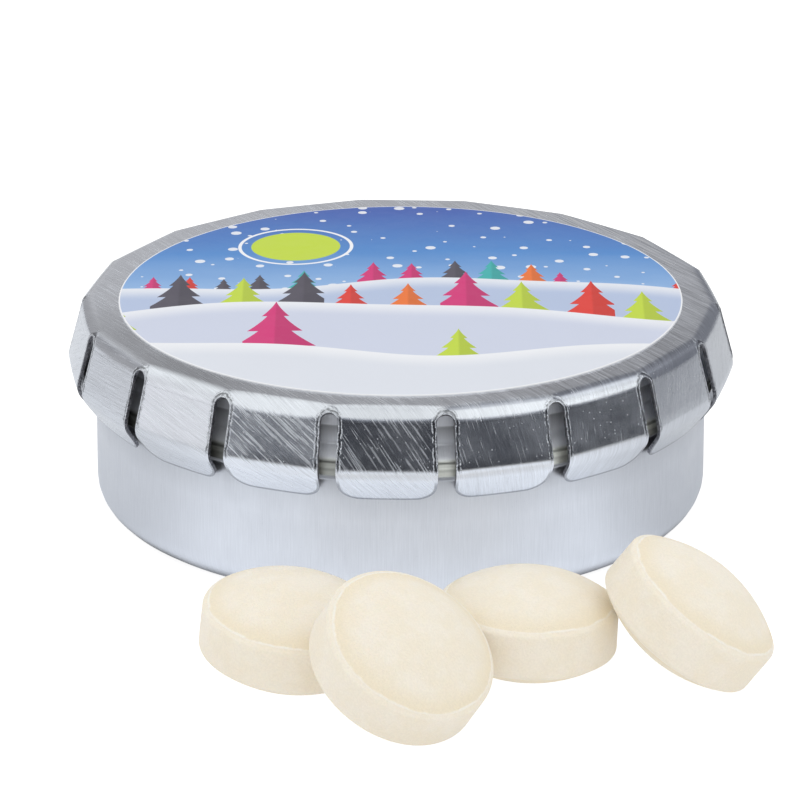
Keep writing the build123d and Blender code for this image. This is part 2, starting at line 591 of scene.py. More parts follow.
@dataclass
class Effects:
    """Node groups that several finishes share."""

    brushing: bpy.types.NodeTree = field(init=False)
    grain: bpy.types.NodeTree = field(init=False)
    hill: bpy.types.NodeTree = field(init=False)

    def __post_init__(self) -> None:
        """Build each group once."""
        self.brushing = self.build_brushing()
        self.grain = self.build_grain()
        self.hill = self.build_hill()

    def build_brushing(self) -> bpy.types.NodeTree:
        """Fine lines across X, long along Y, with single scratches and specks.

        Returns:
            The group, which puts out Lines, Streaks, Scratches and Specks.
        """
        sizes = {"Line Width": 0.08, "Line Length": 4.0, "Scratch Width": 0.075, "Scratch Length": 3.4}
        board, given, result = new_group(
            "brushed_lines", {**sizes, "Scratch Share": 0.3}, ("Lines", "Streaks", "Scratches", "Specks")
        )
        across, along, third = board.split(given.outputs["Vector"])

        def stretched(width: Feed, length: Feed, shift: float) -> Socket:
            """Position in units of the marks' size.

            Args:
                width: Size of the marks across the brushing.
                length: Their size along it.
                shift: Number that moves these marks away from the others.

            Returns:
                The position.
            """
            x = board.maths("DIVIDE", across, width)
            y = board.maths("DIVIDE", along, length)
            z = board.plus(board.maths("DIVIDE", third, width), shift)
            return board.gather(x, y, z)

        width, length = given.outputs["Line Width"], given.outputs["Line Length"]
        fine = board.noise(stretched(width, length, 0.0), 1.0, 3.0, 0.7)
        lines = board.spread(fine, 0.25, 0.75, soft=False)
        wider, longer = board.times(width, 3.5), board.times(length, 2.0)
        coarse = board.noise(stretched(wider, longer, 19.3), 1.0, 2.0, 0.6)
        width, length = given.outputs["Scratch Width"], given.outputs["Scratch Length"]
        marks = board.noise(stretched(width, length, 41.7), 1.0, 0.0, 0.5)
        thin = board.spread(marks, 0.53, 0.7)
        wider, shorter = board.times(width, 2.5), board.times(length, 0.4)
        broken = board.noise(stretched(wider, shorter, 7.3), 1.0, 1.0, 0.5)
        limit = board.scaled(given.outputs["Scratch Share"], -0.42, 0.64)
        scratches = board.times(thin, board.spread(broken, limit, board.plus(limit, 0.26)))
        dots = board.add("ShaderNodeTexVoronoi", feature="F1")
        board.feed(dots.inputs["Vector"], given.outputs["Vector"])
        board.feed(dots.inputs["Scale"], 3.4)
        rare = board.spread(board.split(dots.outputs["Color"])[0], 0.3, 0.9)
        speck = board.spread(dots.outputs["Distance"], 0.04, 0.14, 1.0, 0.0)
        board.feed(result.inputs["Lines"], lines)
        board.feed(result.inputs["Streaks"], board.spread(coarse, 0.3, 0.7, soft=False))
        board.feed(result.inputs["Scratches"], scratches)
        board.feed(result.inputs["Specks"], board.times(rare, speck))
        return board.tree

    def build_grain(self) -> bpy.types.NodeTree:
        """Pressed-powder grain with broader mottling.

        Returns:
            The group, which puts out Grain and Mottle.
        """
        board, given, result = new_group(
            "powder_grain", {"Grain Size": 0.2, "Mottle Size": 1.6}, ("Grain", "Mottle")
        )
        vector = given.outputs["Vector"]
        small = board.maths("DIVIDE", 1.0, given.outputs["Grain Size"])
        broad = board.maths("DIVIDE", 1.0, given.outputs["Mottle Size"])
        grain = board.noise(vector, small, 4.0, 0.65)
        mottle = board.noise(vector, broad, 3.0, 0.6)
        board.feed(result.inputs["Grain"], board.spread(grain, 0.3, 0.7, soft=False))
        board.feed(result.inputs["Mottle"], board.spread(mottle, 0.35, 0.65))
        return board.tree

    def build_hill(self) -> bpy.types.NodeTree:
        """Level of a rolling hill line at a place across the print.

        Returns:
            The group, which puts out Height from the X of its Vector.
        """
        sizes = {"Level": 0.0, "Swell": 1.5, "Length": 7.0, "Phase": 0.0}
        board, given, result = new_group("hill_line", sizes, ("Height",))
        x = board.split(given.outputs["Vector"])[0]
        angle = board.plus(board.maths("DIVIDE", x, given.outputs["Length"]), given.outputs["Phase"])
        long_wave = board.maths("SINE", angle)
        short_wave = board.maths("SINE", board.times(angle, 2.3))
        wave = board.scaled(short_wave, 0.3, long_wave)
        height = board.scaled(wave, given.outputs["Swell"], given.outputs["Level"])
        board.feed(result.inputs["Height"], height)
        return board.tree


def start_material(name: str) -> tuple[Material, NodeBoard, bpy.types.Node]:
    """Start a material with one Principled BSDF.

    Args:
        name: Name of the material.

    Returns:
        The material, its board and its shader.
    """
    material = bpy.data.materials.new(name)
    material.use_nodes = True
    board = NodeBoard(material.node_tree)
    material.node_tree.nodes.clear()
    output = board.add("ShaderNodeOutputMaterial")
    shader = board.add("ShaderNodeBsdfPrincipled")
    board.feed(output.inputs["Surface"], shader.outputs["BSDF"])
    return material, board, shader


def millimetres(board: NodeBoard) -> Socket:
    """The object's own coordinates in millimetres."""
    return board.vectors("SCALE", board.add("ShaderNodeTexCoord").outputs["Object"], 1 / MM)


def raise_surface(board: NodeBoard, shader: bpy.types.Node, height: Feed, depth: float) -> None:
    """Give a shader a bump.

    Args:
        board: The material's board.
        shader: The shader that gets it.
        height: Height of the bump, as a share of its depth.
        depth: Depth in millimetres.
    """
    bump = board.add("ShaderNodeBump")
    board.feed(bump.inputs["Height"], height)
    bump.inputs["Strength"].default_value = 1.0
    bump.inputs["Distance"].default_value = depth * MM
    board.feed(shader.inputs["Normal"], bump.outputs["Normal"])


def turn_share(board: NodeBoard, x: Feed, y: Feed) -> Socket:
    """Bearing from the front as a share of a full turn, with a half at the front itself."""
    bearing = board.maths("ARCTAN2", x, board.times(y, -1.0))
    return board.spread(bearing, -math.pi, math.pi, soft=False)


def tone_stops(
    tones: Sequence[Point2], low: float, high: float, top: float = 1.0
) -> list[tuple[float, Colour]]:
    """Stops of a ramp of greys.

    Args:
        tones: Places and their tones.
        low: Place at which the ramp starts.
        high: Place at which it ends.
        top: Tone that the ramp's white stands for.

    Returns:
        The stops, with places and tones as shares.
    """
    return [((place - low) / (high - low), (shade / top,) * 3) for place, shade in tones]


@dataclass(frozen=True)
class BrushedSteel:
    """Bright steel with brushed lines."""

    name: str
    colour: Colour
    roughness: float
    line_width: float
    line_length: float
    line_depth: float
    line_contrast: float
    scratch_share: float
    scratch_roughness: float
    anisotropy: float
    unfolded: bool
    wrap_radius: float = 21.6

    def coordinates(self, board: NodeBoard) -> Socket:
        """Millimetres across and along the brushing.

        Args:
            board: The material's board.

        Returns:
            A vector with X across the lines and Y along them.
        """
        if self.unfolded:
            sheet = board.add("ShaderNodeUVMap", uv_map=UNFOLDED)
            return board.vectors("SCALE", sheet.outputs["UV"], UNFOLDED_SPAN)
        x, y, z = board.split(millimetres(board))
        around = board.vectors("NORMALIZE", board.gather(x, y, 1e-6))
        turn_x, turn_y = board.split(board.vectors("SCALE", around, self.wrap_radius))[:2]
        radius = board.vectors("LENGTH", board.gather(x, y, 0.0))
        return board.gather(turn_x, board.minus(z, radius), turn_y)

    def burr(
        self, board: NodeBoard, effects: Effects, level: Feed
    ) -> tuple[Socket, Socket]:
        """Torn ridges that the shearing tool leaves along the slots, a painted shade line beside them, and a
        painted gap shadow round the edge of a folded tab.

        Args:
            board: The material's board.
            effects: The shared node groups.
            level: Level over the floor in millimetres.

        Returns:
            The share of the steel's tone that the painted shade lines leave, and the height of the torn
            ridges.
        """
        sheet = board.add("ShaderNodeUVMap", uv_map=BURR)
        margin, rim = board.split(board.vectors("SCALE", sheet.outputs["UV"], BURR_SPAN))[:2]
        grain = board.place_group(effects.grain, Vector=millimetres(board), Grain_Size=0.3, Mottle_Size=0.45)
        wander = board.scaled(grain.outputs["Mottle"], 0.08, margin)
        first = board.spread(board.away(wander, 0.1), 0.0, 0.045, 1.0, 0.0)
        second = board.spread(board.away(wander, 0.33), 0.0, 0.05, 1.0, 0.0)
        second = board.times(second, board.spread(grain.outputs["Grain"], 0.4, 0.6))
        above = board.spread(level, 10.3, 10.8)
        ridge = board.times(board.scaled(second, 0.7, first), above)
        # Painted shade: a broken dark line between the torn ridges, on the petals above the crease.
        slot_edge_shade = board.spread(board.away(wander, 0.2), 0.02, 0.09, 0.7, 0.0)
        slot_edge_shade = board.times(slot_edge_shade, board.spread(grain.outputs["Grain"], 0.2, 0.6, 0.35, 1.0))
        slot_edge_shade = board.times(slot_edge_shade, above)
        # Painted shadow: a dark line along the edge of each folded tab, standing in for the shade of the gap
        # between tab and wall.
        on_tab = board.spread(level, 9.4, 10.1, 1.0, 0.0)
        under = board.times(board.spread(rim, 0.13, 0.25, 0.45, 0.0), on_tab)
        return board.minus(1.0, board.plus(slot_edge_shade, under)), ridge

    def painted_ring_reflection(self, board: NodeBoard, x: Feed, y: Feed, z: Feed) -> Socket:
        """Painted reflection: the ring's tone and the shoulder's highlight made lighter or darker round the
        lid, by bearing.

        Args:
            board: The material's board.
            x: Place to the right in millimetres.
            y: Place to the back in millimetres.
            z: Level over the floor in millimetres.

        Returns:
            The share of the steel's tone that is left.
        """
        around = turn_share(board, x, y)
        # Painted reflection: the flat ring's tone by bearing.
        ring_reflection_tones = (
            (-180, 1.2), (-130, 1.2), (-95, 1.13), (-62, 0.76), (-42, 0.63), (-22, 0.84), (-8, 0.92),
            (12, 0.95), (32, 0.84), (65, 0.88), (85, 1.01), (115, 1.15), (150, 1.2), (180, 1.2),
        )
        # Painted highlight: the shoulder's highlight made stronger or weaker by bearing.
        shoulder_highlight_tones = (
            (-180, 1.0), (-55, 0.96), (-42, 0.87), (-28, 0.92), (-18, 0.92), (-8, 0.82), (3, 0.84),
            (13, 0.98), (24, 1.02), (36, 1.12), (52, 1.12), (75, 1.0), (180, 1.0),
        )
        top = 1.25
        ring, shoulder = (
            board.times(board.split(board.ramp(around, tone_stops(tones, -180, 180, top), "EASE"))[0], top)
            for tones in (ring_reflection_tones, shoulder_highlight_tones)
        )
        return board.spread(z, 14.66, 14.8, board.spread(z, 13.9, 14.15, 1.0, shoulder), ring)

    def painted_cup_light(
        self, board: NodeBoard, x: Feed, level: Feed
    ) -> tuple[Socket, Socket]:
        """Painted light and shade on the cup by level: a painted shadow of the lid darkening the top of the
        wall, a painted shadow under the bead, a dark line over it and a painted highlight on it, painted
        shade on the neck under the rolled rim, a painted highlight on the rim, painted shade on the left,
        and a warmer tint on the bead.

        Args:
            board: The material's board.
            x: Place to the right in millimetres.
            level: Level over the floor in millimetres.

        Returns:
            The share of the steel's colour that is left, and the height of the drawing lines on the bead.
        """
        height = 15.0
        # Painted light and shade by level, as shares of the steel's colour.
        tones = (
            (6.2, 0.77), (7.8, 0.69), (9.5, 0.46), (9.7, 0.46), (9.95, 0.7), (10.15, 0.73),
            (10.35, 0.58), (10.5, 0.86), (10.72, 0.88), (10.82, 0.35), (10.92, 0.35), (11.06, 1.0),
            (12.1, 0.97), (12.6, 0.72), (13.0, 0.52), (13.1, 0.55), (13.18, 1.0),
        )
        ramp = board.ramp(board.maths("DIVIDE", level, height), tone_stops(tones, 0.0, height))
        bead = board.times(board.spread(level, 9.6, 9.9), board.spread(level, 10.9, 11.2, 1.0, 0.0))
        waves = board.maths("SINE", board.times(level, 18.0))
        ridge = board.times(waves, bead, 0.15)
        # Painted shade: the bead darker on the left.
        bead_shade_and_edge_wear = board.times(bead, board.spread(x, -4.0, 2.0, -0.4, 0.0))
        # Painted shade: the neck and the bead darker further to the left.
        left_neck_shade = board.times(board.spread(level, 9.6, 9.9), board.spread(x, -13.0, -5.0, -0.35, 0.0))
        kept = board.scaled(board.plus(bead_shade_and_edge_wear, left_neck_shade), 1.3, 1.3)
        share = board.times(board.split(ramp)[0], kept)
        blue = board.times(share, board.scaled(bead, -0.12, 1.0))
        return board.gather(share, share, blue), ridge

    def build(self, effects: Effects) -> Material:
        """Make the material.

        Args:
            effects: The shared node groups.

        Returns:
            The material.
        """
        material, board, shader = start_material(self.name)
        place = self.coordinates(board)
        x, y, z = board.split(millimetres(board))
        brushing = board.place_group(
            effects.brushing,
            Vector=place,
            Line_Width=self.line_width,
            Line_Length=self.line_length,
            Scratch_Share=board.spread(x, 0.0, 9.0, self.scratch_share, self.scratch_share * 0.35),
        )
        lines, scratches = brushing.outputs["Lines"], brushing.outputs["Scratches"]
        clouds = board.noise(place, 0.35, 3.0, 0.6)
        dark = tuple(value * (1 - self.line_contrast) for value in self.colour)
        bright = tuple(min(1.0, value * (1 + self.line_contrast)) for value in self.colour)
        colour = board.mix(lines, dark, bright)
        if self.unfolded:
            # The burr's painted shade lines and the painted ring reflection scale the lid steel's tone.
            share, ridge = self.burr(board, effects, z)
            share = board.times(share, self.painted_ring_reflection(board, x, y, z))
            strength = board.spread(z, 14.6, 14.8, 0.06, board.spread(x, -2.0, 14.0, 0.08, 0.3))
            streak = board.spread(brushing.outputs["Streaks"], 0.0, 1.0, -1.0, 1.0, soft=False)
            share = board.times(share, board.scaled(streak, strength, 1.0))
            kept = board.grey(share)
        else:
            # Painted light and shade on the cup by level.
            kept, ridge = self.painted_cup_light(board, x, z)
        colour = board.mix(1.0, colour, kept, "MULTIPLY")
        board.feed(shader.inputs["Base Color"], colour)
        board.feed(shader.inputs["Metallic"], 1.0 if self.unfolded else board.spread(z, 9.1, 9.4, 1.0, 0.6))
        shader.inputs["Anisotropic"].default_value = self.anisotropy
        rough = board.spread(clouds, 0.3, 0.7, self.roughness * 0.82, self.roughness * 1.2)
        if not self.unfolded:
            rough = board.plus(rough, board.spread(z, 11.0, 11.3, 0.0, 0.16))
        rough = board.scaled(scratches, self.scratch_roughness, rough)
        rough = board.maths("MULTIPLY_ADD", brushing.outputs["Specks"], 0.4, rough, clamp=True)
        board.feed(shader.inputs["Roughness"], rough)
        height = board.scaled(scratches, 1.5, lines)
        height = board.scaled(brushing.outputs["Specks"], 3.0, height)
        height = board.scaled(ridge, 0.03 / self.line_depth, height)
        raise_surface(board, shader, height, self.line_depth)
        if self.unfolded:
            tangent = board.add("ShaderNodeTangent", direction_type="UV_MAP", uv_map=UNFOLDED)
        else:
            tangent = board.add("ShaderNodeTangent", direction_type="RADIAL", axis="Z")
        board.feed(shader.inputs["Tangent"], tangent.outputs["Tangent"])
        return material


@dataclass(frozen=True)
class CutEdge:
    """Sheared edge of the sheet, rough and darker than its faces."""

    name: str = "cut_steel_edge"
    dark: Colour = tone(66, 66, 72)
    bright: Colour = tone(178, 178, 184)

    def build(self, effects: Effects) -> Material:
        """Make the material.

        Args:
            effects: The shared node groups.

        Returns:
            The material.
        """
        material, board, shader = start_material(self.name)
        grain = board.place_group(effects.grain, Vector=millimetres(board), Grain_Size=0.14, Mottle_Size=0.7)
        board.feed(shader.inputs["Base Color"], board.mix(grain.outputs["Grain"], self.dark, self.bright))
        shader.inputs["Metallic"].default_value = 1.0
        board.feed(shader.inputs["Roughness"], board.spread(grain.outputs["Mottle"], 0.0, 1.0, 0.3, 0.5))
        raise_surface(board, shader, grain.outputs["Grain"], 0.02)
        return material


@dataclass(frozen=True)
class PressedMint:
    """Ivory pressed powder, matt, paler where its edges are worn."""

    name: str = "pressed_mint"
    body: Colour = tone(248, 240, 226)
    warm: Colour = tone(243, 231, 206)
    bead_shade_and_edge_wear: Colour = tone(254, 249, 240)
    line_reach: float = 5.66

    def build(self, effects: Effects) -> Material:
        """Make the material.

        Args:
            effects: The shared node groups.

        Returns:
            The material.
        """
        material, board, shader = start_material(self.name)
        grain = board.place_group(effects.grain, Vector=millimetres(board), Grain_Size=0.15, Mottle_Size=2.2)
        reach = board.add("ShaderNodeAttribute", attribute_name="reach").outputs["Fac"]
        face = board.add("ShaderNodeAttribute", attribute_name="face").outputs["Fac"]
        wander = board.scaled(grain.outputs["Mottle"], 0.08, reach)
        away = board.away(wander, self.line_reach + 0.04)
        line = board.times(board.spread(away, 0.02, 0.11, 1.0, 0.0), face)
        land = board.spread(reach, self.line_reach - 1.5, self.line_reach - 0.1)
        land = board.times(board.times(land, face), board.maths("LESS_THAN", reach, self.line_reach))
        colour = board.mix(board.times(grain.outputs["Mottle"], 0.35), self.body, self.warm)
        colour = board.mix(board.times(land, 0.8), colour, self.warm)
        patchy = board.times(line, board.spread(grain.outputs["Mottle"], 0.2, 0.9, 0.15, 0.8))
        colour = board.mix(patchy, colour, self.bead_shade_and_edge_wear)
        shade = board.spread(grain.outputs["Grain"], 0.0, 1.0, 0.955, 1.015)
        colour = board.mix(1.0, colour, board.grey(shade), "MULTIPLY")
        board.feed(shader.inputs["Base Color"], colour)
        board.feed(shader.inputs["Roughness"], board.spread(grain.outputs["Grain"], 0.0, 1.0, 0.6, 0.85))
        shader.inputs["Specular IOR Level"].default_value = 0.3
        shader.inputs["Subsurface Weight"].default_value = 0.2
        shader.inputs["Subsurface Radius"].default_value = (1.0, 0.8, 0.55)
        shader.inputs["Subsurface Scale"].default_value = 0.5 * MM
        raise_surface(board, shader, board.scaled(patchy, 1.2, grain.outputs["Grain"]), 0.024)
        return material


@dataclass(frozen=True)
class PrintColours:
    """Inks of the label."""

    deep_sky: Colour = tone(70, 100, 178)
    mid_sky: Colour = tone(84, 140, 206)
    low_sky: Colour = tone(160, 194, 233)
    far_snow: Colour = tone(182, 196, 224)
    mid_snow: Colour = tone(206, 212, 230)
    near_snow: Colour = tone(221, 225, 234)
    white: Colour = tone(243, 244, 247)
    lime: Colour = tone(196, 218, 66)
    teal: Colour = tone(62, 178, 176)
    red: Colour = tone(226, 62, 52)
    pink: Colour = tone(214, 52, 122)
    ink: Colour = tone(88, 84, 96)
    orange: Colour = tone(238, 120, 52)


@dataclass(frozen=True)
class PrintedLabel:
    """Satin print of a made-up winter pattern: snow hills, tiered firs, a disc and snowflakes."""

    radius: float
    name: str = "printed_label"
    border: float = 0.13
    inks: PrintColours = PrintColours()

    def firs(
        self,
        board: NodeBoard,
        effects: Effects,
        place: Feed,
        pitch: float,
        height: float,
        hill: dict[str, float],
        seed: float,
    ) -> tuple[Socket, Socket]:
        """A row of firs that stand along a hill line.

        Args:
            board: The material's board.
            effects: The shared node groups.
            place: Position on the print in millimetres.
            pitch: Distance from fir to fir.
            height: Height of the tallest.
            hill: The hill line's sizes.
            seed: Number that chooses the row's mix of sizes and inks.

        Returns:
            The row's mask and its colour.
        """
        x, y = board.split(place)[:2]
        cell = board.maths("FLOOR", board.maths("DIVIDE", board.plus(x, seed), pitch))
        middle = board.times(board.plus(cell, 0.5), pitch)
        middle = board.minus(middle, seed)
        chance = board.add("ShaderNodeTexWhiteNoise", noise_dimensions="2D")
        board.feed(chance.inputs["Vector"], board.gather(cell, seed))
        pick, size, shift = board.split(chance.outputs["Color"])
        middle = board.scaled(board.minus(shift, 0.5), pitch * 0.3, middle)
        ground = board.place_group(effects.hill, Vector=board.gather(middle), **hill).outputs["Height"]
        tall = board.times(board.spread(size, 0.0, 1.0, 0.55, 1.0, soft=False), height)
        rise = board.maths("DIVIDE", board.minus(y, board.minus(ground, 0.5)), tall)
        tier = board.maths("FRACT", board.times(rise, 3.0))
        taper = board.times(board.minus(1.0, rise), board.scaled(tier, -0.5, 1.25))
        half = board.times(taper, board.times(tall, 0.26))
        away = board.away(x, middle)
        branches = board.maths("LESS_THAN", away, half)
        branches = board.times(branches, board.maths("GREATER_THAN", rise, 0.0))
        stands = board.maths("GREATER_THAN", board.maths("FRACT", board.times(pick, 7.3)), 0.3)
        mask = board.times(branches, stands)
        inks = self.inks
        stops = (
            (0.0, inks.lime), (0.24, inks.red), (0.42, inks.teal),
            (0.58, inks.pink), (0.72, inks.ink), (0.86, inks.orange),
        )
        colour = board.ramp(pick, stops, "CONSTANT")
        shade = board.spread(board.minus(x, middle), -0.1, 0.1, 1.0, 0.82)
        return mask, board.mix(1.0, colour, board.grey(shade), "MULTIPLY")

    def snow(
        self,
        board: NodeBoard,
        effects: Effects,
        place: Feed,
        under: Feed,
        hill: dict[str, float],
        ink: Colour,
    ) -> Socket:
        """Lay one snow hill over what is printed so far.

        Args:
            board: The material's board.
            effects: The shared node groups.
            place: Position on the print in millimetres.
            under: Colour printed so far.
            hill: The hill line's sizes.
            ink: Colour of the snow.

        Returns:
            The colour with the hill on it.
        """
        y = board.split(place)[1]
        line = board.place_group(effects.hill, Vector=place, **hill).outputs["Height"]
        depth = board.minus(line, y)
        crest = board.mix(board.spread(depth, 0.0, 2.6, 0.75, 0.0), ink, self.inks.white)
        return board.mix(board.spread(depth, 0.0, 0.06), under, crest)

    def build(self, effects: Effects) -> Material:
        """Make the material.

        Args:
            effects: The shared node groups.

        Returns:
            The material.
        """
        material, board, shader = start_material(self.name)
        inks = self.inks
        place = millimetres(board)
        x, y = board.split(place)[:2]
        haze = board.noise(board.gather(x, board.times(y, 3.0)), 0.07, 3.0, 0.6)
        up = board.plus(board.spread(y, -1.0, 19.0, soft=False), board.scaled(haze, 0.2, -0.1))
        colour = board.ramp(up, ((0.0, inks.low_sky), (0.5, inks.mid_sky), (1.0, inks.deep_sky)))
        flakes = board.add("ShaderNodeTexVoronoi", feature="F1", voronoi_dimensions="2D")
        board.feed(flakes.inputs["Vector"], place)
        board.feed(flakes.inputs["Scale"], 0.42)
        size = board.times(board.split(flakes.outputs["Color"])[0], 0.17)
        dot = board.maths("LESS_THAN", flakes.outputs["Distance"], size)
        colour = board.mix(board.times(dot, 0.85), colour, inks.white)
        disc_middle = (-7.6, 10.4, 0.0)
        from_disc = board.vectors("LENGTH", board.vectors("SUBTRACT", board.gather(x, y), disc_middle))
        colour = board.mix(board.spread(from_disc, 3.2, 3.26, 1.0, 0.0), colour, inks.lime)
        ring = board.times(board.spread(from_disc, 3.9, 3.95), board.spread(from_disc, 4.15, 4.2, 1.0, 0.0))
        colour = board.mix(ring, colour, inks.white)
        far = {"Level": 2.2, "Swell": 1.1, "Length": 6.2, "Phase": 0.6}
        mid = {"Level": -3.2, "Swell": 1.5, "Length": 8.4, "Phase": 2.3}
        near = {"Level": -10.5, "Swell": 1.6, "Length": 7.3, "Phase": 4.4}
        for hill, ink, pitch, height, seed in (
            (far, inks.far_snow, 2.7, 4.6, 3.1),
            (mid, inks.mid_snow, 4.1, 8.0, 17.7),
            (near, inks.near_snow, 6.1, 9.6, 29.3),
        ):
            mask, fir = self.firs(board, effects, place, pitch, height, hill, seed)
            colour = board.mix(mask, colour, fir)
            colour = self.snow(board, effects, place, colour, hill, ink)
        reach = board.vectors("LENGTH", board.gather(x, y))
        edge = board.spread(reach, self.radius - self.border, self.radius - self.border + 0.05)
        colour = board.mix(edge, colour, inks.white)
        board.feed(shader.inputs["Base Color"], colour)
        grain = board.place_group(effects.grain, Vector=place, Grain_Size=0.12, Mottle_Size=3.0)
        board.feed(shader.inputs["Roughness"], board.spread(grain.outputs["Mottle"], 0.0, 1.0, 0.46, 0.54))
        shader.inputs["Specular IOR Level"].default_value = 0.3
        raise_surface(board, shader, grain.outputs["Grain"], 0.002)
        return material


@dataclass
class Finishes:
    """All finishes, each made once."""

    effects: Effects
    lid: Material = field(init=False)
    base: Material = field(init=False)
    edge: Material = field(init=False)
    mint: Material = field(init=False)
    label: Material = field(init=False)

    def __post_init__(self) -> None:
        """Build each material."""
        self.lid = BrushedSteel(
            name="lid_brushed_steel", colour=(0.70, 0.716, 0.757), roughness=0.19, line_width=0.045,
            line_length=2.2, line_depth=0.0026, line_contrast=0.12, scratch_share=0.72,
            scratch_roughness=0.16, anisotropy=0.45, unfolded=True,
        ).build(self.effects)
        self.base = BrushedSteel(
            name="base_satin_steel", colour=(0.68, 0.696, 0.74), roughness=0.36, line_width=0.07,
            line_length=2.4, line_depth=0.0012, line_contrast=0.06, scratch_share=0.05,
            scratch_roughness=0.1, anisotropy=0.3, unfolded=False,
        ).build(self.effects)
        self.edge = CutEdge().build(self.effects)
        self.mint = PressedMint().build(self.effects)
        self.label = PrintedLabel(radius=20.0).build(self.effects)


def dress(piece: Piece, *materials: Material) -> None:
    """Give a piece its materials.

    Args:
        piece: The piece.
        *materials: The first goes on its faces, any second on its cut edges.
    """
    while len(piece.data.materials) < len(materials):
        piece.data.materials.append(None)
    for place, material in enumerate(materials):
        piece.data.materials[place] = material


# The tin


@dataclass
class TinBase:
    """Drawn cup with a locking bead under its neck and a rim rolled inwards. Sizes in millimetres."""

    wall_radius: float = 21.68
    neck_radius: float = 21.5
    bead_radius: float = 22.62
    bead_foot: float = 9.3
    bead_low: float = 9.9
    bead_high: float = 10.95
    bead_head: float = 11.85
    sheet: float = 0.25
    corner: float = 2.1
    curl_radius: float = 0.65
    curl_level: float = 13.82
    steps: int = 216
    floor_rings: tuple[float, float] = (7.0, 14.0)

    def outline(self) -> list[Vector]:
        """Section from the underside's middle, up the wall, round the rim and back inside.

        Returns:
            The section's points in metres.
        """
        corners = [
            (0.0, 0.0),
            (self.wall_radius, 0.0),
            (self.wall_radius, self.bead_foot),
            (self.bead_radius, self.bead_low),
            (self.bead_radius, self.bead_high),
            (self.neck_radius, self.bead_head),
            (self.neck_radius, self.curl_level),
        ]
        turns = (1, -1, 1, 1, -1)
        outer_bends = (self.corner, 0.3, 0.35, 0.35, 0.3)
        inner_bends = [bend - turn * self.sheet for bend, turn in zip(outer_bends, turns)]
        outside = rounded(corners, outer_bends, 7)
        inside = rounded(beside(corners, self.sheet), inner_bends, 6)
        middle = (self.neck_radius - self.curl_radius, self.curl_level)
        curl_out = arc(middle, self.curl_radius, 0.0, 270.0, 26)
        curl_in = arc(middle, self.curl_radius - self.sheet, 270.0, 0.0, 20)
        points = outside[:-1] + curl_out + curl_in + inside[-2::-1]
        points[1:1] = [Vector((reach, 0.0)) for reach in self.floor_rings]
        points[-1:-1] = [Vector((reach, self.sheet)) for reach in reversed(self.floor_rings)]
        return [point * MM for point in points]

    def build(self, finishes: Finishes) -> Piece:
        """Make the cup.

        Args:
            finishes: The finishes.

        Returns:
            The cup.
        """
        cup = turn_outline("tin_cup", self.outline(), self.steps)
        smooth(cup, 35.0)
        dress(cup, finishes.base)
        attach(cup, "base")
        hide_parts("tin_base")
        log.info("%s replaces tin_base", cup.name)
        return cup


@dataclass
class Row:
    """One row of points across a facet of the lid: its half width at the slot, and its section by share."""

    side: float
    section: Callable[[float], SheetPoint]


